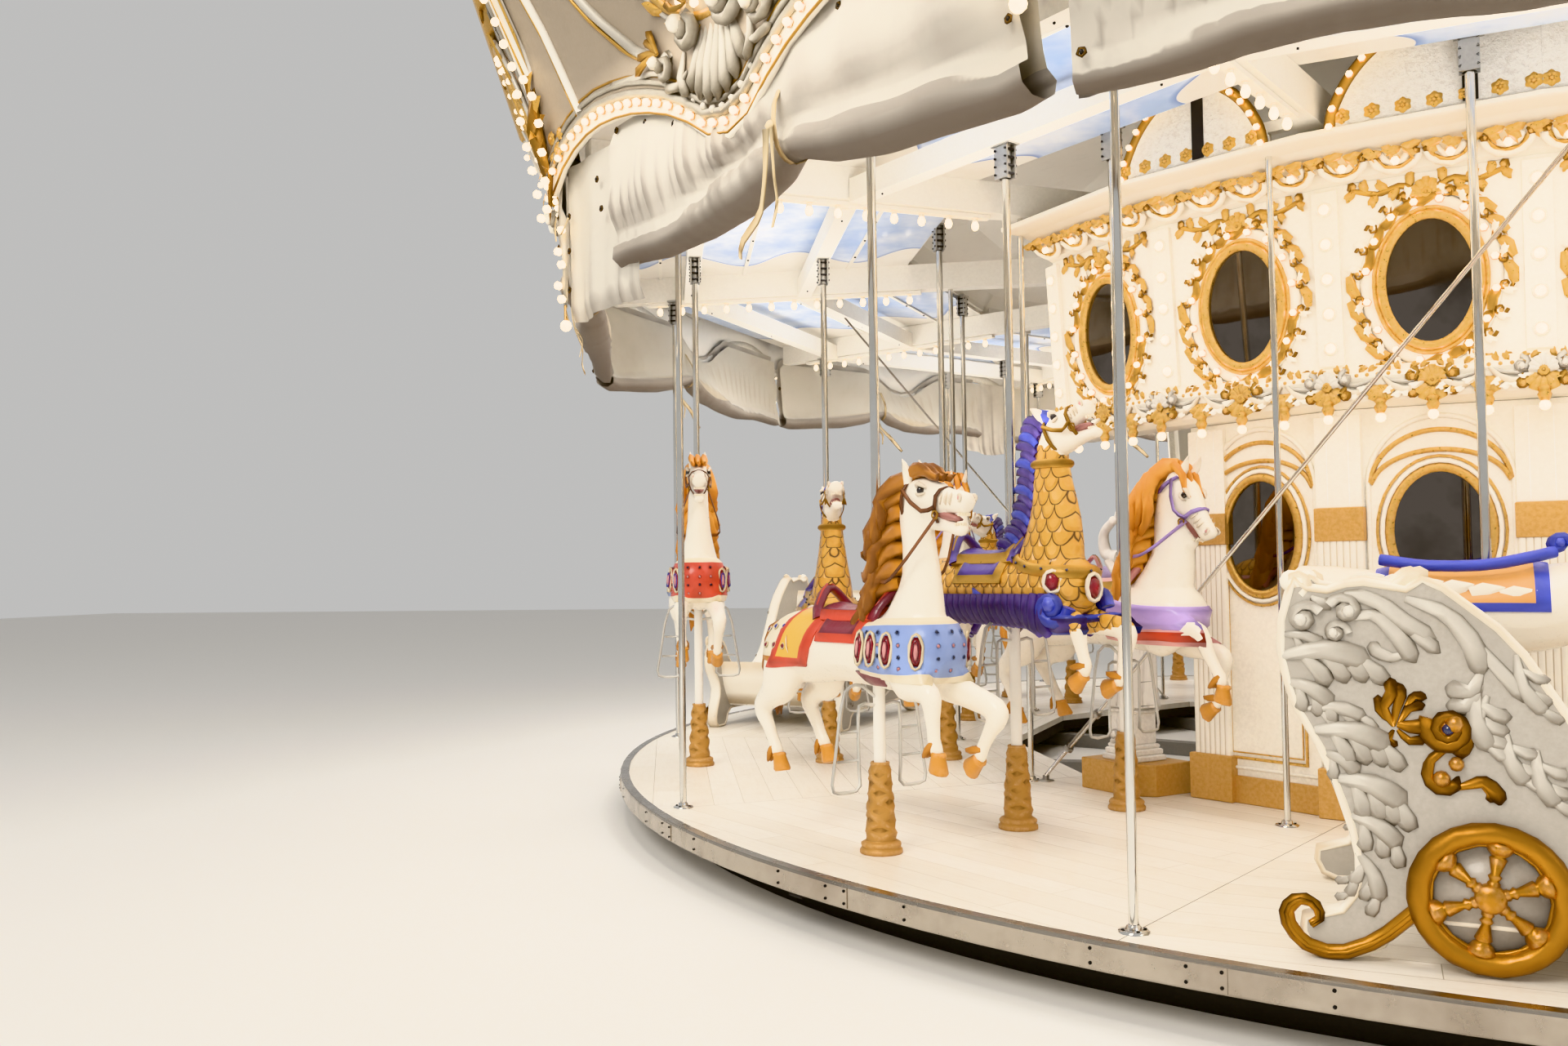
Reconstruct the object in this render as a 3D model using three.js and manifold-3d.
// Fairground carousel: a turning platform with three rows of jumping mounts, four chariots,
// a mirrored centre drum, twelve ceiling sweeps and a tented roof with rounding boards.
// Millimetres, +Z up, origin on the ground at the centre of the machine.
// The machine turns counter-clockwise seen from above, and the mounts face that way.

import * as THREE from 'three';
import { mergeVertices } from 'three/addons/utils/BufferGeometryUtils.js';
import Module from 'manifold-3d';

const wasm = await Module();
wasm.setup();

// Driving dimensions

const GAP = 0.3;
const SECTORS = 12;
const SECTOR_DEG = 360 / SECTORS;
const SIDE_COS = Math.cos(Math.PI / SECTORS);
const BAYS = 24;
const BAY_DEG = 360 / BAYS;

const DECK_TOP = 220;
const DECK_THICKNESS = 40;
const DECK_RADIUS = 5240;
const DECK_SIDES = 36;
const RIM_RADIUS = 5270;
const RIM_DROP = 85;
const DECK_INNER_APOTHEM = 2790;
const FRAME_DEPTH = 70;

const OUTER_ROW_RADIUS = 4821;
const MIDDLE_ROW_RADIUS = 4070;
const INNER_ROW_RADIUS = 3375;
const FIRST_RANK_DEG = 15;
const CHARIOT_RANKS = [2, 5, 8, 11];
const CHARIOT_MOUNT_SHIFT_DEG = -4.2;

const OUTER_HANGER_RADIUS = 5105;
const INNER_HANGER_RADIUS = 3230;
const HANGER_SHIFT_DEG = -3;
const HANGER_TUBE_RADIUS = 15;
const POLE_RADIUS = 18;
const SLEEVE_RADIUS = 24;
const POLE_SIDES = 6;

const CONE_HEIGHT = 350;
const CONE_FLANGE_RADIUS = 84;
const CONE_FOOT_RADIUS = 66;
const CONE_TOP_RADIUS = 39;
const CONE_BORE_RADIUS = 29;
const CONE_FLOOR = 10;

const SWEEP_LEVEL = 3170;
const SWEEP_DEPTH = 165;
const SWEEP_WIDTH = 110;
const SWEEP_OUTER_RADIUS = 5540;
const RING_BEAM_DROP = 20;
const RING_BEAM_DEPTH = 120;
const RING_BEAM_WIDTH = 90;

const BELLY_HEIGHT = 765;
const STROKE_HALF = 140;
const ROW_REST = [-130, 90, -40];
const SLEEVE_LOW = 30;

const WALL_APOTHEM = 2845;
const WALL_THICKNESS = 60;
const WALL_TOP = 1990;
const SKIRTING_HEIGHT = 126;
const PILASTER_WIDTH = 190;
const OPEN_FROM_DEG = 105;
const OPEN_TO_DEG = 225;
const WALL_SPLIT_DEG = 345;
const BUTT_DEG = 0.004;

const UPPER_FOOT = 2160;
const UPPER_TOP = 2950;
const UPPER_FOOT_APOTHEM = 2960;
const UPPER_TOP_APOTHEM = 3010;
const CORNICE_LEVEL = 3110;
const CORNICE_APOTHEM = 3317;
const RELIEF_TOP = 3450;
const RELIEF_APOTHEM = 3300;
const RELIEF_THICKNESS = 40;
const SWEEP_NOTCH_WIDTH = 176;

const HUB_RADIUS = 358;
const MAST_RADIUS = 130;
const MAST_TOP = 3100;
const KING_POST_RADIUS = 90;

const BOARD_FOOT_LEVEL = 2960;
const BOARD_BEND_LEVEL = 3360;
const BOARD_TOP_LEVEL = 4400;
const BOARD_FOOT_APOTHEM = 5560;
const BOARD_TOP_APOTHEM = 5950;
const BOARD_THICKNESS = 60;
const APEX_LEVEL = 6300;
const CROWN_FOOT = 6120;

const CURTAIN_LOW = 2690;
const CURTAIN_TOP = 3130;

const up = new THREE.Vector3(0, 0, 1);
const radians = THREE.MathUtils.degToRad;

// Colours, roughness and metalness of the finishes

function finish(color, roughness, metalness) {
  return new THREE.MeshStandardMaterial({ color, roughness, metalness });
}

const whitePaint = finish(0xf3ece0, 0.45, 0);
const whiteBoards = finish(0xe8e4dc, 0.55, 0);
const goldPaint = finish(0xb98a3a, 0.4, 0.6);
const darkSteel = finish(0x2d2c2b, 0.7, 0.6);
const aluminium = finish(0xb9b6b0, 0.35, 1);
const creamCanvas = finish(0xdcd0b8, 0.9, 0);
const silverWhite = finish(0xd9d7d2, 0.4, 0.1);
const taupePaint = finish(0x9a8f80, 0.5, 0);
const horseWhite = finish(0xf1ebe2, 0.35, 0);
const scaleGold = finish(0xc79a4b, 0.4, 0.3);

const group = new THREE.Group();

// Solids: a closed geometry becomes a solid, and a solid becomes a named mesh

function signedVolume(positions, index) {
  const a = new THREE.Vector3();
  const b = new THREE.Vector3();
  const c = new THREE.Vector3();
  let volume = 0;
  for (let i = 0; i < index.length; i += 3) {
    a.fromArray(positions, index[i] * 3);
    b.fromArray(positions, index[i + 1] * 3);
    c.fromArray(positions, index[i + 2] * 3);
    volume += a.dot(b.cross(c)) / 6;
  }
  return volume;
}

function solid(geometry) {
  const bare = geometry.clone();
  bare.deleteAttribute('normal');
  bare.deleteAttribute('uv');
  const merged = mergeVertices(bare, 1e-3);
  const vertProperties = new Float32Array(merged.attributes.position.array);
  const triVerts = [];
  const index = merged.index.array;
  for (let i = 0; i < index.length; i += 3) {
    const [a, b, c] = [index[i], index[i + 1], index[i + 2]];
    if (a !== b && b !== c && c !== a) triVerts.push(a, b, c);
  }
  if (signedVolume(vertProperties, triVerts) < 0) triVerts.reverse();
  const mesh = new wasm.Mesh({ numProp: 3, vertProperties, triVerts: new Uint32Array(triVerts) });
  return new wasm.Manifold(mesh);
}

function join(solids) {
  return solids.reduce((whole, piece) => whole.add(piece));
}

function meshOf(name, shape, material) {
  const { vertProperties, triVerts } = shape.getMesh();
  const geometry = new THREE.BufferGeometry();
  geometry.setAttribute('position', new THREE.BufferAttribute(new Float32Array(vertProperties), 3));
  geometry.setIndex(new THREE.BufferAttribute(new Uint32Array(triVerts), 1));
  const mesh = new THREE.Mesh(geometry, material);
  mesh.name = name;
  group.add(mesh);
  return mesh;
}

// Basic shapes, placed in the machine's own frame

function place(geometry, x, y, z, turnDeg = 0) {
  geometry.rotateZ(radians(turnDeg));
  geometry.translate(x, y, z);
  return geometry;
}

function block(sizeX, sizeY, lowZ, highZ, x = 0, y = 0) {
  return solid(place(new THREE.BoxGeometry(sizeX, sizeY, highZ - lowZ), x, y, (lowZ + highZ) / 2));
}

function upright(radius, lowZ, highZ, x = 0, y = 0, sides = POLE_SIDES, topRadius = radius) {
  const geometry = new THREE.CylinderGeometry(topRadius, radius, highZ - lowZ, sides);
  geometry.rotateX(Math.PI / 2);
  return solid(place(geometry, x, y, (lowZ + highZ) / 2));
}

// A straight bar between two points; width is level and depth is upright
function bar(from, to, width, depth) {
  const start = new THREE.Vector3(...from);
  const end = new THREE.Vector3(...to);
  const along = end.clone().sub(start);
  const length = along.length();
  const forward = along.normalize();
  const side = new THREE.Vector3().crossVectors(up, forward).normalize();
  const rise = new THREE.Vector3().crossVectors(forward, side);
  const geometry = new THREE.BoxGeometry(length, width, depth);
  geometry.applyMatrix4(new THREE.Matrix4().makeBasis(forward, side, rise));
  geometry.translate((start.x + end.x) / 2, (start.y + end.y) / 2, (start.z + end.z) / 2);
  return solid(geometry);
}

// A round bar or tapered limb between two points
function limb(from, to, startRadius, endRadius, sides = 6, squash = 1) {
  const start = new THREE.Vector3(...from);
  const end = new THREE.Vector3(...to);
  const along = end.clone().sub(start);
  const geometry = new THREE.CylinderGeometry(endRadius, startRadius, along.length(), sides);
  geometry.rotateY(Math.PI / sides);
  const cylinderAxis = new THREE.Vector3(0, 1, 0);
  geometry.applyQuaternion(new THREE.Quaternion().setFromUnitVectors(cylinderAxis, along.normalize()));
  geometry.scale(1, squash, 1);
  geometry.translate((start.x + end.x) / 2, (start.y + end.y) * squash / 2, (start.z + end.z) / 2);
  geometry.translate(0, (start.y + end.y) * (1 - squash) / 2, 0);
  return solid(geometry);
}

function ellipsoid(centre, radii, around = 8, rows = 6) {
  const geometry = new THREE.SphereGeometry(1, around, rows);
  geometry.rotateX(Math.PI / 2);
  geometry.rotateY(Math.PI / 2);
  geometry.scale(...radii);
  geometry.translate(...centre);
  return solid(geometry);
}

// A plate cut to an outline in the X-Z plane, from one y to another
function sidePlate(outline, lowY, highY) {
  const shape = new THREE.Shape(outline.map(([x, z]) => new THREE.Vector2(x, z)));
  const geometry = new THREE.ExtrudeGeometry(shape, { depth: highY - lowY, bevelEnabled: false });
  geometry.rotateX(Math.PI / 2);
  geometry.translate(0, highY, 0);
  return solid(geometry);
}

// A ring turned about the machine's axis from a closed profile of [radius, level] points
function ring(profile, segments, startDeg = 0) {
  const points = profile.map(([radius, level]) => new THREE.Vector2(radius, level));
  if (profile[0][0] > 0) points.push(points[0].clone());
  const geometry = new THREE.LatheGeometry(points, segments);
  geometry.rotateX(Math.PI / 2);
  geometry.rotateZ(radians(startDeg));
  return solid(geometry);
}

// The same ring with straight sides and a corner on every sector line; radii are given to the flat sides
function sidedRing(profile, sides = SECTORS) {
  const sideCos = Math.cos(Math.PI / sides);
  return ring(profile.map(([apothem, level]) => [apothem / sideCos, level]), sides);
}

// A tall wedge about the machine's axis that keeps what lies between two angles
function wedgeBetween(fromDeg, toDeg) {
  const reach = 8000;
  const shape = new THREE.Shape();
  shape.moveTo(0, 0);
  for (let angle = fromDeg; angle <= toDeg; angle += BAY_DEG) {
    const [x, y] = polar(reach, angle + (angle === fromDeg ? BUTT_DEG : 0), 0);
    shape.lineTo(x, y);
  }
  return solid(new THREE.ExtrudeGeometry(shape, { depth: reach, bevelEnabled: false }));
}

function turned(shape, degrees) {
  return shape.rotate([0, 0, degrees]);
}

function polar(radius, degrees, level) {
  return [radius * Math.cos(radians(degrees)), radius * Math.sin(radians(degrees)), level];
}

function rankDeg(rank) {
  return FIRST_RANK_DEG + rank * SECTOR_DEG;
}

// Fixed base: a hub plate on the ground with a sleeper under every sector line, and the mast

function makeBase() {
  const sleeperDepth = 90;
  const sleeperWidth = 120;
  const sleeperLength = 4900;
  const plateRadius = 800;
  const mastFootRadius = 340;
  const mastFootTop = sleeperDepth + 60;
  const collarRadius = 230;
  const collarDepth = 60;
  const plate = upright(plateRadius, 0, sleeperDepth, 0, 0, BAYS);
  const sleeper = block(sleeperLength, sleeperWidth, 0, sleeperDepth, sleeperLength / 2, 0);
  const sleepers = Array.from({ length: SECTORS }, (_, k) => turned(sleeper, k * SECTOR_DEG));
  meshOf('base_sleepers', join([plate, ...sleepers]), darkSteel);

  const foot = upright(mastFootRadius, sleeperDepth + GAP, mastFootTop, 0, 0, SECTORS);
  const shaft = upright(MAST_RADIUS, mastFootTop - 30, MAST_TOP - 20, 0, 0, SECTORS);
  const collar = upright(collarRadius, MAST_TOP - collarDepth, MAST_TOP, 0, 0, SECTORS);
  meshOf('centre_mast', join([foot, shaft, collar]), darkSteel);
}

// Turning platform

function makeDeck() {
  const low = DECK_TOP - DECK_THICKNESS;
  const disc = ring([[0, low], [DECK_RADIUS, low], [DECK_RADIUS, DECK_TOP], [0, DECK_TOP]], DECK_SIDES);
  const well = sidedRing([
    [0, low - 1], [DECK_INNER_APOTHEM, low - 1], [DECK_INNER_APOTHEM, DECK_TOP + 1], [0, DECK_TOP + 1],
  ]);
  meshOf('deck_boards', disc.subtract(well), whiteBoards);

  const frameTop = low - GAP;
  const frameLow = frameTop - FRAME_DEPTH;
  const frameWidth = 60;
  const inside = sidedRing([
    [DECK_INNER_APOTHEM, frameLow],
    [DECK_INNER_APOTHEM + frameWidth, frameLow],
    [DECK_INNER_APOTHEM + frameWidth, frameTop],
    [DECK_INNER_APOTHEM, frameTop],
  ]);
  const rim = ring([
    [DECK_RADIUS + 2 * GAP, DECK_TOP - RIM_DROP],
    [RIM_RADIUS, DECK_TOP - RIM_DROP],
    [RIM_RADIUS, DECK_TOP],
    [DECK_RADIUS + 2 * GAP, DECK_TOP],
  ], DECK_SIDES);
  const joistWidth = 80;
  const joistStart = DECK_INNER_APOTHEM + frameWidth / 2;
  const joistEnd = RIM_RADIUS - 12;
  const joist = block(joistEnd - joistStart, joistWidth, frameLow, frameTop, (joistStart + joistEnd) / 2, 0);
  const joists = Array.from({ length: SECTORS }, (_, k) => turned(joist, rankDeg(k)));
  meshOf('deck_frame', join([inside, rim, ...joists]), aluminium);
}

// Centre drum: lower wall bays with pilasters, open on one side, and the flared head above

function makeLowerWall(name, fromDeg, toDeg) {
  const foot = DECK_TOP + GAP;
  const skirting = WALL_APOTHEM + 16;
  const shaftDepth = 70;
  const baseDepth = 90;
  const baseWidth = PILASTER_WIDTH + 30;
  const baseTop = DECK_TOP + 2 * SKIRTING_HEIGHT;
  const wall = sidedRing([
    [WALL_APOTHEM - WALL_THICKNESS, foot],
    [skirting, foot],
    [skirting, DECK_TOP + SKIRTING_HEIGHT],
    [WALL_APOTHEM, DECK_TOP + SKIRTING_HEIGHT],
    [WALL_APOTHEM, WALL_TOP],
    [WALL_APOTHEM - WALL_THICKNESS, WALL_TOP],
  ]);
  const pilasters = [];
  for (let angle = fromDeg; angle < toDeg; angle += BAY_DEG) {
    const onCorner = angle % SECTOR_DEG === 0;
    const reach = (onCorner ? WALL_APOTHEM / SIDE_COS : WALL_APOTHEM) - 20;
    const shaft = block(shaftDepth, PILASTER_WIDTH, foot, WALL_TOP, reach, 0);
    const base = block(baseDepth, baseWidth, foot, baseTop, reach, 0);
    const clearOfButt = angle === fromDeg ? 3 : 0;
    pilasters.push(turned(shaft.add(base), angle + clearOfButt));
  }
  meshOf(name, join([wall.intersect(wedgeBetween(fromDeg, toDeg)), ...pilasters]), whitePaint);
}

// The head is one bay wider than the wall at each end, and the relief panels end with the wall
function makeDrumHead() {
  const inner = UPPER_FOOT_APOTHEM - 170;
  const wallInset = 60;
  const notchMiddle = UPPER_TOP_APOTHEM + 280;
  const notchLow = UPPER_TOP + 40;
  const cutTop = RELIEF_TOP + 10;
  const headKeep = wedgeBetween(OPEN_TO_DEG - BAY_DEG, OPEN_FROM_DEG + BAY_DEG + 360);
  const garland = sidedRing([
    [inner, WALL_TOP + GAP],
    [UPPER_FOOT_APOTHEM, WALL_TOP + GAP],
    [UPPER_FOOT_APOTHEM + 50, WALL_TOP + 30],
    [UPPER_FOOT_APOTHEM + 70, UPPER_FOOT - 30],
    [UPPER_FOOT_APOTHEM + 50, UPPER_FOOT],
    [inner, UPPER_FOOT],
  ], BAYS);
  meshOf('garland_band', garland.intersect(headKeep), goldPaint);

  const upperWall = sidedRing([
    [UPPER_FOOT_APOTHEM - wallInset, UPPER_FOOT + GAP],
    [UPPER_FOOT_APOTHEM, UPPER_FOOT + GAP],
    [UPPER_TOP_APOTHEM, UPPER_TOP],
    [UPPER_TOP_APOTHEM - wallInset, UPPER_TOP],
  ], BAYS);
  meshOf('upper_wall', upperWall.intersect(headKeep), whitePaint);

  const cornice = sidedRing([
    [UPPER_TOP_APOTHEM - wallInset, UPPER_TOP + GAP],
    [UPPER_TOP_APOTHEM, UPPER_TOP + GAP],
    [UPPER_TOP_APOTHEM + 60, CORNICE_LEVEL - 60],
    [CORNICE_APOTHEM, CORNICE_LEVEL - 20],
    [CORNICE_APOTHEM, CORNICE_LEVEL],
    [UPPER_TOP_APOTHEM - wallInset, CORNICE_LEVEL],
  ], BAYS);
  const relief = sidedRing([
    [RELIEF_APOTHEM - RELIEF_THICKNESS, CORNICE_LEVEL - 10],
    [RELIEF_APOTHEM, CORNICE_LEVEL - 10],
    [RELIEF_APOTHEM, RELIEF_TOP],
    [RELIEF_APOTHEM - RELIEF_THICKNESS, RELIEF_TOP],
  ], BAYS);
  const cuts = [];
  for (let line = 0; line < SECTORS; line += 1) {
    const notch = block(400, SWEEP_NOTCH_WIDTH, notchLow, cutTop, notchMiddle, 0);
    const sweepSlot = block(700, SWEEP_WIDTH + 2 * GAP, SWEEP_LEVEL - GAP, cutTop, notchMiddle, 0);
    cuts.push(turned(notch.add(sweepSlot), line * SECTOR_DEG));
    if (besideChariot(line)) {
      const hangerSlot = block(400, 240, notchLow, cutTop, notchMiddle, -130);
      cuts.push(turned(hangerSlot, line * SECTOR_DEG));
    }
  }
  const reliefKeep = wedgeBetween(OPEN_TO_DEG, OPEN_FROM_DEG + 360);
  const head = cornice.intersect(headKeep).add(relief.intersect(reliefKeep));
  meshOf('drum_cornice', head.subtract(join(cuts)), whitePaint);
}

function besideChariot(line) {
  return CHARIOT_RANKS.includes(line % SECTORS);
}

// Sweep frames: one for each sector, with its sweep, ring beams, hangers, mount poles and cones

function hanger(radius, degrees, topLevel) {
  const [x, y] = polar(radius, degrees, 0);
  return upright(HANGER_TUBE_RADIUS, DECK_TOP + GAP, topLevel, x, y);
}

function mountPole(radius, degrees, topLevel) {
  const profile = [
    [0, GAP],
    [CONE_FLANGE_RADIUS, GAP],
    [CONE_FOOT_RADIUS, 45],
    [CONE_TOP_RADIUS, CONE_HEIGHT],
    [CONE_BORE_RADIUS, CONE_HEIGHT],
    [CONE_BORE_RADIUS, CONE_FLOOR],
    [0, CONE_FLOOR],
  ];
  const points = profile.map(([r, z]) => new THREE.Vector2(r, z));
  const geometry = new THREE.LatheGeometry(points, POLE_SIDES);
  geometry.rotateX(Math.PI / 2);
  const [x, y] = polar(radius, degrees, 0);
  geometry.translate(x, y, DECK_TOP);
  return solid(geometry).add(upright(POLE_RADIUS, DECK_TOP + GAP, topLevel, x, y));
}

function ringBeam(radius, rank, low) {
  const corner = radius / SIDE_COS;
  const middle = low + RING_BEAM_DEPTH / 2;
  const start = polar(corner, rank * SECTOR_DEG, middle);
  const end = polar(corner, (rank + 1) * SECTOR_DEG, middle);
  return bar(start, end, RING_BEAM_WIDTH, RING_BEAM_DEPTH);
}

function sectorWedge(rank) {
  const reach = 8000;
  const side = SWEEP_WIDTH / 2 + GAP / 2;
  const shape = new THREE.Shape();
  const lowAngle = radians(rank * SECTOR_DEG);
  const highAngle = radians((rank + 1) * SECTOR_DEG);
  const lowSide = [side * Math.sin(lowAngle), -side * Math.cos(lowAngle)];
  const highSide = [(side + GAP) * Math.sin(highAngle), -(side + GAP) * Math.cos(highAngle)];
  shape.moveTo(...lowSide);
  shape.lineTo(lowSide[0] + reach * Math.cos(lowAngle), lowSide[1] + reach * Math.sin(lowAngle));
  shape.lineTo(highSide[0] + reach * Math.cos(highAngle), highSide[1] + reach * Math.sin(highAngle));
  shape.lineTo(...highSide);
  return solid(new THREE.ExtrudeGeometry(shape, { depth: reach, bevelEnabled: false }));
}

function makeSweepFrame(rank) {
  const line = rank * SECTOR_DEG;
  const centre = rankDeg(rank);
  const hasChariot = CHARIOT_RANKS.includes(rank);
  const sweepMiddle = SWEEP_LEVEL + SWEEP_DEPTH / 2;
  const sweepStart = polar(HUB_RADIUS - 20, line, sweepMiddle);
  const sweepEnd = polar(SWEEP_OUTER_RADIUS, line, sweepMiddle);
  const hubSpace = upright(HUB_RADIUS + GAP / SIDE_COS, MAST_TOP, SWEEP_LEVEL + 400, 0, 0, SECTORS);
  const sweep = bar(sweepStart, sweepEnd, SWEEP_WIDTH, SWEEP_DEPTH).subtract(hubSpace);
  const pieces = [sweep];

  const beamLow = SWEEP_LEVEL - RING_BEAM_DROP;
  const beams = [
    ringBeam(OUTER_ROW_RADIUS, rank, beamLow),
    ringBeam(MIDDLE_ROW_RADIUS, rank, beamLow),
    ringBeam(INNER_ROW_RADIUS + RING_BEAM_WIDTH / 2, rank, beamLow),
  ];
  pieces.push(join(beams).intersect(sectorWedge(rank)));

  const hangerTop = SWEEP_LEVEL + 20;
  pieces.push(hanger(OUTER_HANGER_RADIUS, line, hangerTop));
  if (besideChariot(rank)) {
    const shifted = line + HANGER_SHIFT_DEG;
    const armLevel = SWEEP_LEVEL + 30;
    const armStart = polar(INNER_HANGER_RADIUS, shifted - 0.5, armLevel);
    const armEnd = polar(INNER_HANGER_RADIUS, line, armLevel);
    pieces.push(hanger(INNER_HANGER_RADIUS, shifted, armLevel));
    pieces.push(bar(armStart, armEnd, 50, 50));
  } else {
    pieces.push(hanger(INNER_HANGER_RADIUS, line, hangerTop));
  }

  const innerDeg = hasChariot ? centre + CHARIOT_MOUNT_SHIFT_DEG : centre;
  pieces.push(mountPole(INNER_ROW_RADIUS, innerDeg, beamLow + 40));
  if (!hasChariot) {
    pieces.push(mountPole(MIDDLE_ROW_RADIUS, centre, beamLow + 40));
    pieces.push(mountPole(OUTER_ROW_RADIUS, centre, beamLow + 40));
  } else {
    pieces.push(makeStay(rank, beamLow));
  }
  const name = 'sweep_frame_' + String(rank + 1).padStart(2, '0');
  meshOf(name, join(pieces), whitePaint);
}

// A braced stay from the deck beside an inner hanger up to the middle ring beam, past the chariot
function makeStay(rank, beamLow) {
  const footDeg = (rank - 1) * SECTOR_DEG + 0.8;
  const headPastRankDeg = 5.5;
  const rodRadius = 9;
  const shoeRadius = 40;
  const headRadius = MIDDLE_ROW_RADIUS / Math.cos(radians(headPastRankDeg));
  const foot = polar(INNER_HANGER_RADIUS - 60, footDeg, DECK_TOP + 22);
  const head = polar(headRadius, rankDeg(rank) + headPastRankDeg, beamLow + 20);
  const shoe = upright(shoeRadius, DECK_TOP + GAP, DECK_TOP + 30, foot[0], foot[1]);
  return shoe.add(limb(foot, head, rodRadius, rodRadius));
}

// Hub that carries the sweeps on the mast's bearing, and the king post up to the roof

function makeHub() {
  const low = MAST_TOP + GAP;
  const body = upright(HUB_RADIUS, low, SWEEP_LEVEL + 300, 0, 0, SECTORS);
  const post = upright(KING_POST_RADIUS, SWEEP_LEVEL + 250, CROWN_FOOT, 0, 0, SECTORS);
  meshOf('sweep_hub', body.add(post), darkSteel);
}

// Ceiling, roof, rounding boards and side curtains

function makeCanopy() {
  const ceilingInner = 3400;
  const ceilingOuter = 5400;
  const ceilingLevel = SWEEP_LEVEL + SWEEP_DEPTH + GAP;
  const ceilingTop = ceilingLevel + 20;
  meshOf('ceiling_panels', sidedRing([
    [ceilingInner, ceilingLevel],
    [ceilingOuter, ceilingLevel],
    [ceilingOuter, ceilingTop],
    [ceilingInner, ceilingTop],
  ]), whitePaint);

  meshOf('rounding_boards', sidedRing([
    [BOARD_FOOT_APOTHEM, BOARD_FOOT_LEVEL],
    [BOARD_FOOT_APOTHEM + BOARD_THICKNESS, BOARD_FOOT_LEVEL],
    [BOARD_FOOT_APOTHEM + BOARD_THICKNESS + 30, BOARD_BEND_LEVEL],
    [BOARD_TOP_APOTHEM, BOARD_TOP_LEVEL - 60],
    [BOARD_TOP_APOTHEM, BOARD_TOP_LEVEL],
    [BOARD_TOP_APOTHEM - BOARD_THICKNESS, BOARD_TOP_LEVEL],
    [BOARD_FOOT_APOTHEM + 30, BOARD_BEND_LEVEL],
  ]), taupePaint);

  const eaveApothem = BOARD_TOP_APOTHEM - 20;
  const crownRadius = 420;
  meshOf('roof_tent', sidedRing([
    [0, CROWN_FOOT + GAP],
    [crownRadius, CROWN_FOOT + GAP],
    [eaveApothem, BOARD_TOP_LEVEL + GAP],
    [eaveApothem, BOARD_TOP_LEVEL + 40],
    [crownRadius, APEX_LEVEL - 120],
    [300, APEX_LEVEL],
    [220, APEX_LEVEL + 160],
    [260, APEX_LEVEL + 330],
    [120, APEX_LEVEL + 430],
    [60, APEX_LEVEL + 640],
    [0, APEX_LEVEL + 700],
  ]), creamCanvas);
}

function makeCurtains() {
  const outside = BOARD_FOOT_APOTHEM - 2 * GAP;
  const inside = 5330;
  meshOf('side_curtains', sidedRing([
    [inside + 60, CURTAIN_LOW],
    [inside + 150, CURTAIN_LOW + 20],
    [outside, CURTAIN_LOW + 170],
    [outside, CURTAIN_TOP],
    [outside - 60, CURTAIN_TOP],
    [inside + 20, CURTAIN_LOW + 180],
    [inside, CURTAIN_LOW + 70],
  ]), creamCanvas);
}

// Chariots: two carved sides, a floor, a bench and its back, and a wheel on the outer side

const WHEEL_RADIUS = 205;
const WHEEL_X = -378;
const WHEEL_THICKNESS = 60;
const FLOOR_LOW = 140;
const SEAT_X = -400;
const SEAT_LENGTH = 420;
const SEAT_LOW = 380;
const SEAT_TOP = 440;
const BACK_X = -640;
const BACK_TOP = 960;
const CHARIOT_OUTER_RADIUS = 4990;
const CHARIOT_INNER_RADIUS = 3960;
const CHARIOT_SIDE_THICKNESS = 70;
const CHARIOT_OUTLINE = [
  [-830, 20], [-740, 0], [-640, 40], [-560, 110], [560, 110], [640, 0], [790, 0], [800, 100],
  [740, 270], [830, 420], [820, 560], [740, 640], [650, 600], [540, 450], [330, 370], [110, 400],
  [-60, 510], [-185, 705], [-290, 876], [-400, 985], [-520, 1046], [-840, 1066], [-885, 960], [-892, 845],
  [-860, 705], [-780, 545], [-705, 285], [-740, 150], [-850, 110],
];

function makeChariot(rank, number) {
  const floorLow = DECK_TOP + GAP;
  const carryRadius = (CHARIOT_OUTER_RADIUS + CHARIOT_INNER_RADIUS) / 2;
  const halfWidth = (CHARIOT_OUTER_RADIUS - CHARIOT_INNER_RADIUS) / 2;
  const outline = CHARIOT_OUTLINE.map(([x, z]) => [x, z + floorLow]);
  const outerSide = sidePlate(outline, -halfWidth, CHARIOT_SIDE_THICKNESS - halfWidth);
  const innerSide = sidePlate(outline, halfWidth - CHARIOT_SIDE_THICKNESS, halfWidth);
  const width = 2 * halfWidth - CHARIOT_SIDE_THICKNESS;
  const floor = block(1150, width, floorLow + FLOOR_LOW, floorLow + FLOOR_LOW + 40, 0, 0);
  const seat = block(SEAT_LENGTH, width, floorLow + SEAT_LOW, floorLow + SEAT_TOP, SEAT_X, 0);
  const back = block(70, width, floorLow + FLOOR_LOW + 10, floorLow + BACK_TOP, BACK_X, 0);
  const wheel = new THREE.CylinderGeometry(WHEEL_RADIUS, WHEEL_RADIUS, WHEEL_THICKNESS, 16);
  wheel.translate(WHEEL_X, -halfWidth - 15, floorLow + WHEEL_RADIUS);
  const chariot = join([outerSide, innerSide, floor, seat, back, solid(wheel)]);
  meshOf('chariot_' + number, carry(chariot, carryRadius, rankDeg(rank), 0), silverWhite);
}

// Moves a shape made facing +X to its place on the platform, facing the way the machine turns
function carry(shape, radius, degrees, level) {
  const [x, y] = polar(radius, degrees, 0);
  return shape.rotate([0, 0, degrees + 90]).translate([x, y, level]);
}

// Jumping mounts, made facing +X with the pole on the local Z axis and the belly at level 0

const TORSO = [
  [-400, 20], [270, 0], [390, 120], [400, 260], [190, 330], [-60, 305], [-320, 335],
  [-530, 250], [-550, 120],
];

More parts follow.
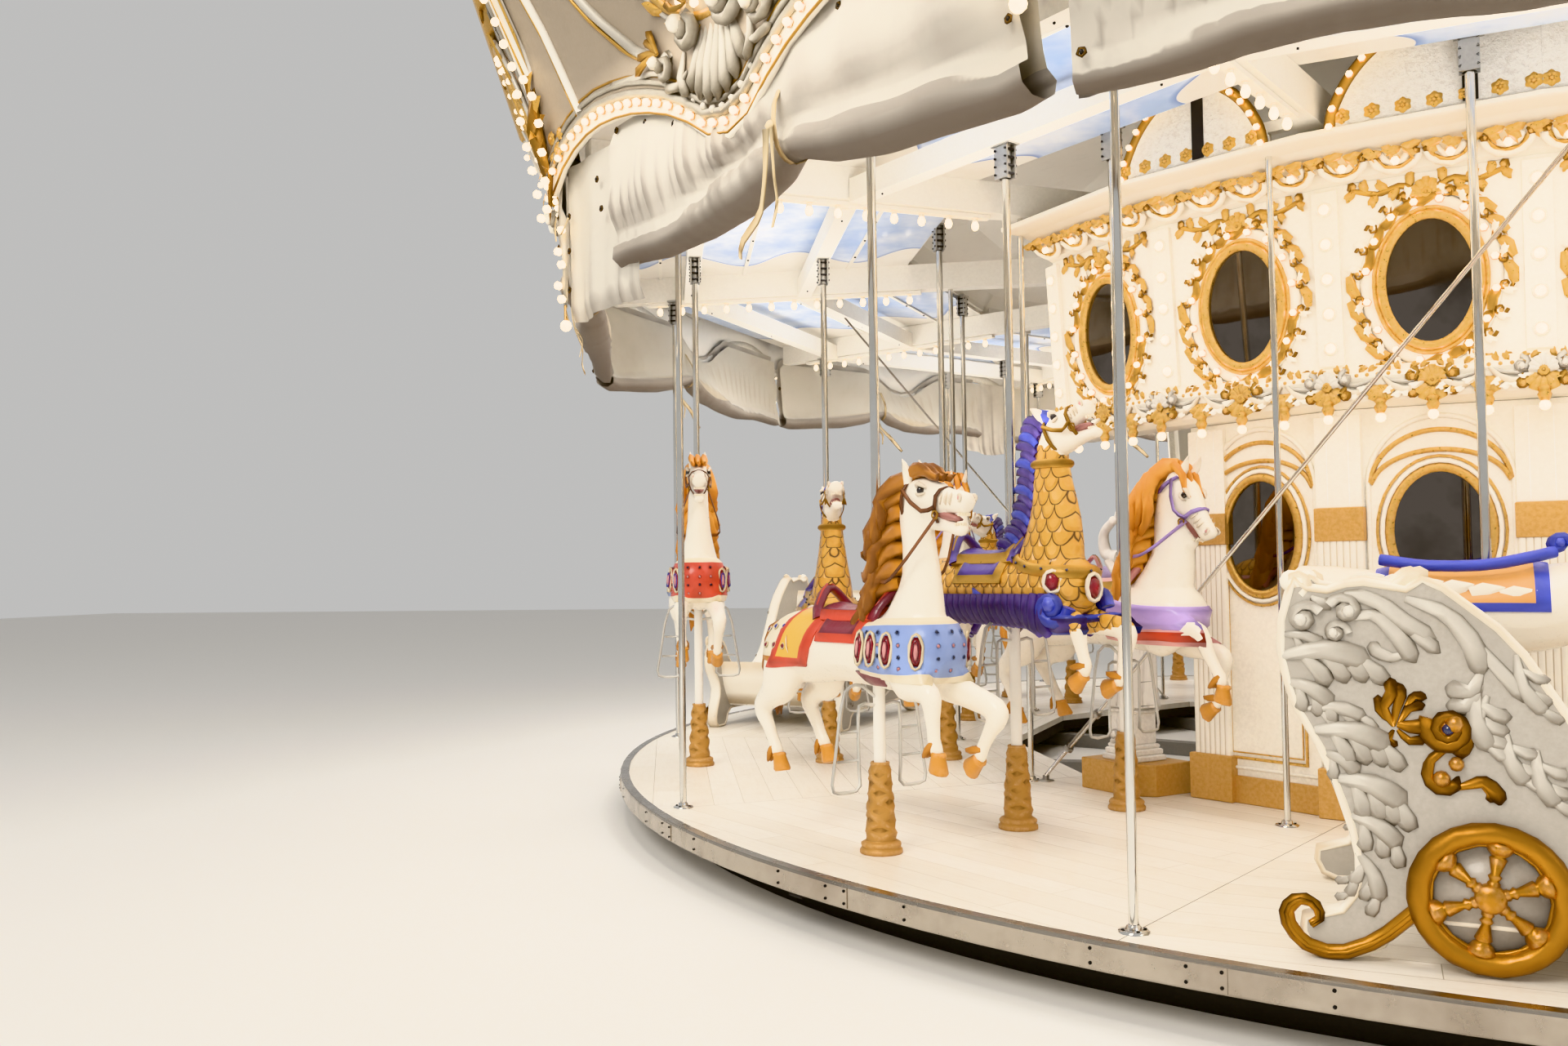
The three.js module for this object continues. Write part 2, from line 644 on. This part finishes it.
const SPINE = [
  [-640, -100], [-500, 180], [330, 150], [440, 480], [560, 530], [560, 680], [420, 790],
  [300, 810], [190, 560], [100, 300], [-480, 300],
];

const FORELEG = [[200, 130], [370, 110], [490, -20], [400, -270], [380, -60]];

const HIND_LEG = [[-480, 220], [-280, 120], [-330, -40], [-470, -330], [-560, -100]];

function shifted(outline, forward, rise) {
  return outline.map(([x, z], index) => (index > 1 ? [x + forward, z + rise] : [x, z]));
}

function lifted(outline, rise) {
  return outline.map(([x, z]) => (z > 400 ? [x, z + rise] : [x, z]));
}

function horseBody(headLift) {
  const torso = sidePlate(TORSO, -140, 140);
  const spine = sidePlate(lifted(SPINE, headLift), -58, 58);
  const legs = [
    sidePlate(shifted(FORELEG, -30, 0), 70, 150),
    sidePlate(shifted(FORELEG, 20, 70), -150, -70),
    sidePlate(HIND_LEG, 70, 150),
    sidePlate(shifted(HIND_LEG, 50, -10), -150, -70),
  ];
  return join([torso, spine, ...legs]);
}

function makeMount(name, radius, degrees, restOffset, headLift, material) {
  const bellyLevel = DECK_TOP + BELLY_HEIGHT + restOffset;
  const sleeveBottom = DECK_TOP + SLEEVE_LOW + STROKE_HALF + restOffset - bellyLevel;
  const sleeve = upright(SLEEVE_RADIUS, sleeveBottom, 60);
  const bore = upright(POLE_RADIUS + GAP / Math.cos(Math.PI / POLE_SIDES), -900, 900);
  const whole = horseBody(headLift).add(sleeve);
  const [x, y] = polar(radius, degrees, 0);
  const facing = whole.rotate([0, 0, degrees + 90]).subtract(bore);
  meshOf(name, facing.translate([x, y, bellyLevel]), material);
}

function restOffset(rank, row) {
  const sign = rank % 2 === 1 ? 1 : -1;
  return sign * ROW_REST[row];
}

function makeMounts() {
  for (let rank = 0; rank < SECTORS; rank += 1) {
    const centre = rankDeg(rank);
    const hasChariot = CHARIOT_RANKS.includes(rank);
    const label = String(rank + 1).padStart(2, '0');
    if (!hasChariot) {
      makeMount('outer_mount_' + label, OUTER_ROW_RADIUS, centre, restOffset(rank, 0), 0, horseWhite);
      makeMount('middle_mount_' + label, MIDDLE_ROW_RADIUS, centre, restOffset(rank, 1), 60, scaleGold);
    }
    const innerDeg = hasChariot ? centre + CHARIOT_MOUNT_SHIFT_DEG : centre;
    makeMount('inner_mount_' + label, INNER_ROW_RADIUS, innerDeg, restOffset(rank, 2), 20, horseWhite);
  }
}

// Plinth with a stepped pedestal and a standing draped figure at each end of the drum's opening

const STATUE_OFFSET_DEG = 6;
const STATUE_RADIUS = 2960;
const PLINTH_RADIUS = 2950;
const PLINTH_TOP = 152;
const STEP_TOP = 230;
const PEDESTAL_TOP = 420;
const ROBE_TOP = 1150;
const NECK_TOP = 1300;

function makeStatue(name, degrees) {
  const foot = DECK_TOP + GAP;
  const at = (height) => [STATUE_RADIUS, 0, foot + height];
  const plinth = block(330, 420, foot, foot + PLINTH_TOP, PLINTH_RADIUS, 0);
  const step = block(200, 220, foot + PLINTH_TOP - 12, foot + STEP_TOP, STATUE_RADIUS, 0);
  const pedestal = block(150, 170, foot + STEP_TOP - 10, foot + PEDESTAL_TOP, STATUE_RADIUS, 0);
  const robe = limb(at(PEDESTAL_TOP - 20), at(ROBE_TOP), 120, 75, 8);
  const shoulders = ellipsoid(at(ROBE_TOP + 30), [70, 110, 70], 8, 5);
  const neck = limb(at(ROBE_TOP + 50), at(NECK_TOP), 36, 36);
  const head = ellipsoid(at(NECK_TOP + 30), [62, 55, 78], 8, 6);
  meshOf(name, turned(join([plinth, step, pedestal, robe, shoulders, neck, head]), degrees), whitePaint);
}

makeBase();
makeDeck();
makeLowerWall('drum_wall_front', OPEN_TO_DEG, WALL_SPLIT_DEG);
makeLowerWall('drum_wall_back', WALL_SPLIT_DEG, 360 + OPEN_FROM_DEG);
makeDrumHead();
for (let rank = 0; rank < SECTORS; rank += 1) makeSweepFrame(rank);
makeHub();
makeCanopy();
makeCurtains();
CHARIOT_RANKS.forEach((rank, index) => makeChariot(rank, index + 1));
makeMounts();
makeStatue('drum_statue_front', OPEN_TO_DEG - STATUE_OFFSET_DEG);
makeStatue('drum_statue_back', OPEN_FROM_DEG + STATUE_OFFSET_DEG);

export default group;
